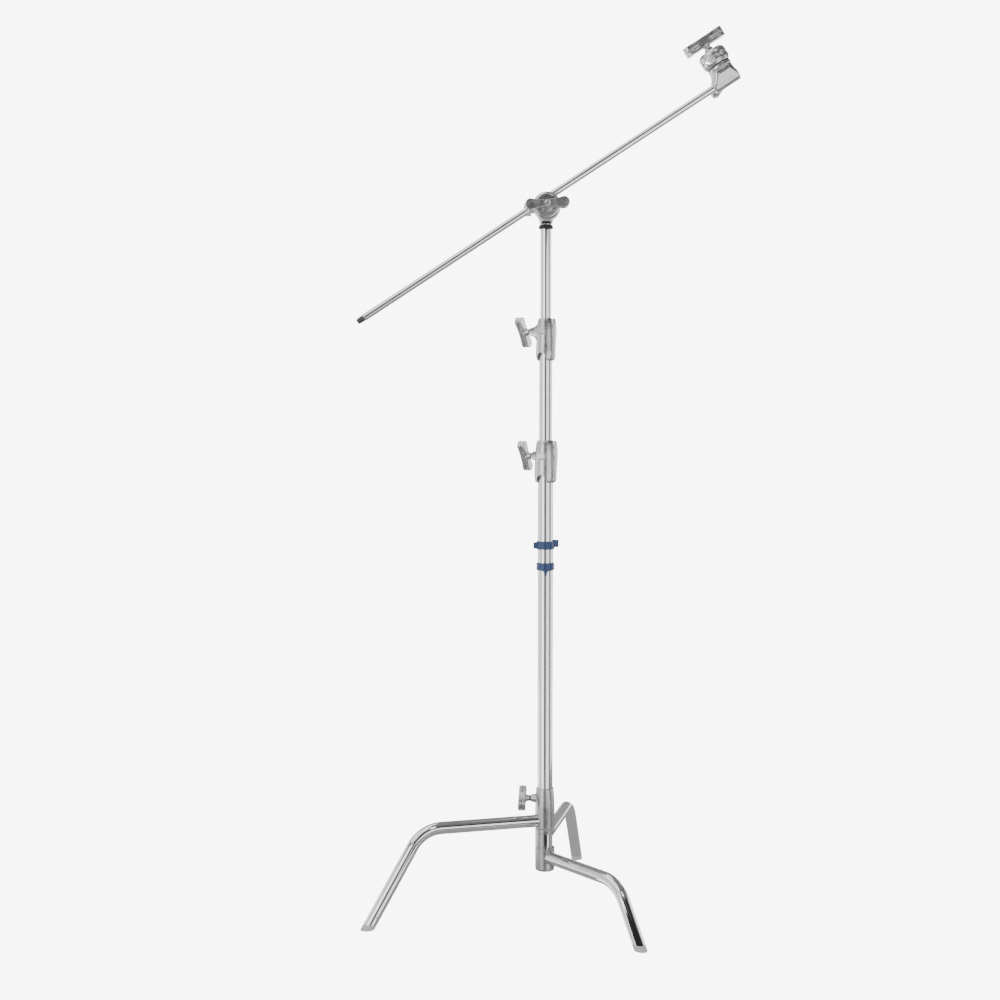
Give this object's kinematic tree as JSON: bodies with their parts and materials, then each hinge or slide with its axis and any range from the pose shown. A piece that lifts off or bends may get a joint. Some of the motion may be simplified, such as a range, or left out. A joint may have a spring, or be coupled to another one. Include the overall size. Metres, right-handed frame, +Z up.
{
  "type": "c stand",
  "caption": "Sliding-leg light stand with folding bent legs, telescoping risers, clamp collars, and a boom arm held by a grip head with a second grip head at its end.",
  "frame": {"origin": "centre of the whole object's footprint box on the floor plane, with the three feet standing on z = 0", "axes": "+Z up along the column, +X towards the side the arm's head points to, -Y towards the viewer of the jaws' handles"},
  "size_m": [0.8543, 0.658, 1.9997],
  "materials": {
    "chrome_tube": "polished chrome plate on steel tube",
    "hub_casting": "grey satin plated die casting",
    "satin_casting": "satin chrome plated die casting",
    "steel": "zinc plated turned steel",
    "brass_pad": "turned brass",
    "rubber": "matt black",
    "blue_plastic": "moulded blue plastic",
    "nylon": "natural nylon",
    "grey_plastic": "dark grey moulded plastic",
    "light_plastic": "light grey moulded plastic"
  },
  "bodies": {
    "base": {"column_tube": "chrome_tube", "column_plug": "grey_plastic", "lowest_leg_hub": "hub_casting", "lowest_leg_tube": "chrome_tube", "lowest_leg_foot_cap": "light_plastic", "hub_washer": "nylon", "upper_blue_ring": "blue_plastic", "lower_blue_ring": "blue_plastic", "lower_collar": "satin_casting", "lower_collar_bush": "nylon"},
    "middle_leg": {"middle_leg_hub": "hub_casting", "middle_leg_tube": "chrome_tube", "middle_leg_foot_cap": "light_plastic"},
    "leg_slider": {"sliding_leg_liner": "nylon"},
    "sliding_leg": {"sliding_leg_hub": "hub_casting", "sliding_leg_tube": "chrome_tube", "sliding_leg_foot_cap": "light_plastic"},
    "sliding_leg_pad": {"sliding_leg_pad": "brass_pad"},
    "sliding_leg_knob": {"sliding_leg_screw": "steel", "sliding_leg_knob": "satin_casting"},
    "lower_collar_pad": {"lower_collar_pad": "brass_pad"},
    "lower_collar_knob": {"lower_collar_screw": "steel", "lower_collar_knob": "satin_casting"},
    "riser_1": {"riser_1_tube": "chrome_tube", "riser_1_bush": "nylon", "upper_collar": "satin_casting", "upper_collar_bush": "nylon"},
    "upper_collar_pad": {"upper_collar_pad": "brass_pad"},
    "upper_collar_knob": {"upper_collar_screw": "steel", "upper_collar_knob": "satin_casting"},
    "riser_2": {"riser_2_tube": "chrome_tube", "riser_2_bush": "nylon", "stud": "steel", "rubber_washer": "rubber"},
    "centre_head": {"centre_head_body": "satin_casting", "centre_head_friction_washer": "rubber"},
    "centre_head_pad": {"centre_head_pad": "brass_pad"},
    "centre_head_knob": {"centre_head_screw": "steel", "centre_head_knob": "satin_casting"},
    "centre_jaw": {"centre_head_inner_jaw": "satin_casting", "centre_head_spring": "steel"},
    "centre_outer_jaw": {"centre_head_outer_jaw": "satin_casting"},
    "centre_handle": {"centre_head_handle": "satin_casting", "centre_head_bolt": "steel", "centre_head_thrust_washer": "steel"},
    "end_head": {"end_head_body": "satin_casting", "end_head_friction_washer": "rubber"},
    "end_head_pad": {"end_head_pad": "brass_pad"},
    "end_head_knob": {"end_head_screw": "steel", "end_head_knob": "satin_casting"},
    "end_jaw": {"end_head_inner_jaw": "satin_casting", "end_head_spring": "steel"},
    "end_outer_jaw": {"end_head_outer_jaw": "satin_casting"},
    "end_handle": {"end_head_handle": "satin_casting", "end_head_bolt": "steel", "end_head_thrust_washer": "steel"},
    "arm": {"arm_rod": "chrome_tube", "arm_tip_cap": "grey_plastic"}
  },
  "joints": [
    {"name": "middle_leg_fold", "type": "hinge", "parent": "base", "child": "middle_leg", "pos_m": [-0.002, -0.0455, 0.165], "axis": [0, 0, 1], "range_deg": [-129, 0]},
    {"name": "leg_slide", "type": "slide", "parent": "base", "child": "leg_slider", "axis": [0, 0, 1], "range_m": [0, 0.4]},
    {"name": "sliding_leg_fold", "type": "hinge", "parent": "leg_slider", "child": "sliding_leg", "pos_m": [-0.002, -0.0455, 0.215], "axis": [0, 0, 1], "range_deg": [0, 106]},
    {"name": "sliding_leg_screw_travel", "type": "slide", "parent": "sliding_leg", "child": "sliding_leg_pad", "axis": [-0.9976, 0.0698, 0], "range_m": [0, 0.0036]},
    {"name": "sliding_leg_knob_turn", "type": "hinge", "parent": "sliding_leg_pad", "child": "sliding_leg_knob", "pos_m": [-0.002, -0.0455, 0.256], "axis": [-0.9976, 0.0698, 0], "range_deg": [0, 720]},
    {"name": "lower_collar_screw_travel", "type": "slide", "parent": "base", "child": "lower_collar_pad", "axis": [-0.8829, 0.4695, 0], "range_m": [0, 0.0036]},
    {"name": "lower_collar_knob_turn", "type": "hinge", "parent": "lower_collar_pad", "child": "lower_collar_knob", "pos_m": [-0.002, -0.0455, 1.0484], "axis": [-0.8829, 0.4695, 0], "range_deg": [0, 720]},
    {"name": "riser_1_slide", "type": "slide", "parent": "base", "child": "riser_1", "axis": [0, 0, 1], "range_m": [-0.178, 0.67]},
    {"name": "upper_collar_screw_travel", "type": "slide", "parent": "riser_1", "child": "upper_collar_pad", "axis": [-0.848, 0.5299, 0], "range_m": [0, 0.0036]},
    {"name": "upper_collar_knob_turn", "type": "hinge", "parent": "upper_collar_pad", "child": "upper_collar_knob", "pos_m": [-0.002, -0.0455, 1.3314], "axis": [-0.848, 0.5299, 0], "range_deg": [0, 720]},
    {"name": "riser_2_slide", "type": "slide", "parent": "riser_1", "child": "riser_2", "axis": [0, 0, 1], "range_m": [-0.185, 0.73]},
    {"name": "centre_head_pan", "type": "hinge", "parent": "riser_2", "child": "centre_head", "pos_m": [-0.002, -0.0455, 1.6047], "axis": [0, 0, 1], "continuous": true},
    {"name": "centre_head_screw_travel", "type": "slide", "parent": "centre_head", "child": "centre_head_pad", "axis": [-1, 0, 0], "range_m": [0, 0.0036]},
    {"name": "centre_head_knob_turn", "type": "hinge", "parent": "centre_head_pad", "child": "centre_head_knob", "pos_m": [-0.002, -0.0455, 1.6047], "axis": [-1, 0, 0], "range_deg": [0, 720]},
    {"name": "centre_jaw_tilt", "type": "hinge", "parent": "centre_head", "child": "centre_jaw", "pos_m": [-0.002, -0.0455, 1.6047], "axis": [0, -1, 0], "range_deg": [-105, 147]},
    {"name": "centre_outer_jaw_travel", "type": "slide", "parent": "centre_jaw", "child": "centre_outer_jaw", "axis": [0, -1, 0], "range_m": [0, 0.0036]},
    {"name": "centre_handle_turn", "type": "hinge", "parent": "centre_outer_jaw", "child": "centre_handle", "pos_m": [-0.002, -0.0455, 1.6047], "axis": [0, -1, 0], "range_deg": [0, 720]},
    {"name": "arm_slide", "type": "slide", "parent": "centre_jaw", "child": "arm", "axis": [0.8387, 0, 0.5446], "range_m": [-0.2, 0.44]},
    {"name": "end_head_roll", "type": "hinge", "parent": "arm", "child": "end_head", "pos_m": [0.39715, -0.0995, 1.88239], "axis": [0.8387, 0, 0.5446], "continuous": true},
    {"name": "end_head_screw_travel", "type": "slide", "parent": "end_head", "child": "end_head_pad", "axis": [0, 1, 0], "range_m": [0, 0.0036]},
    {"name": "end_head_knob_turn", "type": "hinge", "parent": "end_head_pad", "child": "end_head_knob", "pos_m": [0.39715, -0.0995, 1.88239], "axis": [0, 1, 0], "range_deg": [0, 720]},
    {"name": "end_jaw_turn", "type": "hinge", "parent": "end_head", "child": "end_jaw", "pos_m": [0.39715, -0.0995, 1.88239], "axis": [-0.5446, 0, 0.8387], "continuous": true},
    {"name": "end_outer_jaw_travel", "type": "slide", "parent": "end_jaw", "child": "end_outer_jaw", "axis": [-0.5446, 0, 0.8387], "range_m": [0, 0.0036]},
    {"name": "end_handle_turn", "type": "hinge", "parent": "end_outer_jaw", "child": "end_handle", "pos_m": [0.39715, -0.0995, 1.88239], "axis": [-0.5446, 0, 0.8387], "range_deg": [0, 720]}
  ],
  "couplings": [
    {"joint": "sliding_leg_screw_travel", "follows": "sliding_leg_knob_turn", "m_per_rad": 0.00027852},
    {"joint": "lower_collar_screw_travel", "follows": "lower_collar_knob_turn", "m_per_rad": 0.00027852},
    {"joint": "upper_collar_screw_travel", "follows": "upper_collar_knob_turn", "m_per_rad": 0.00027852},
    {"joint": "centre_head_screw_travel", "follows": "centre_head_knob_turn", "m_per_rad": 0.00027852},
    {"joint": "centre_outer_jaw_travel", "follows": "centre_handle_turn", "m_per_rad": 0.00027852},
    {"joint": "end_head_screw_travel", "follows": "end_head_knob_turn", "m_per_rad": 0.00027852},
    {"joint": "end_outer_jaw_travel", "follows": "end_handle_turn", "m_per_rad": 0.00027852}
  ]
}
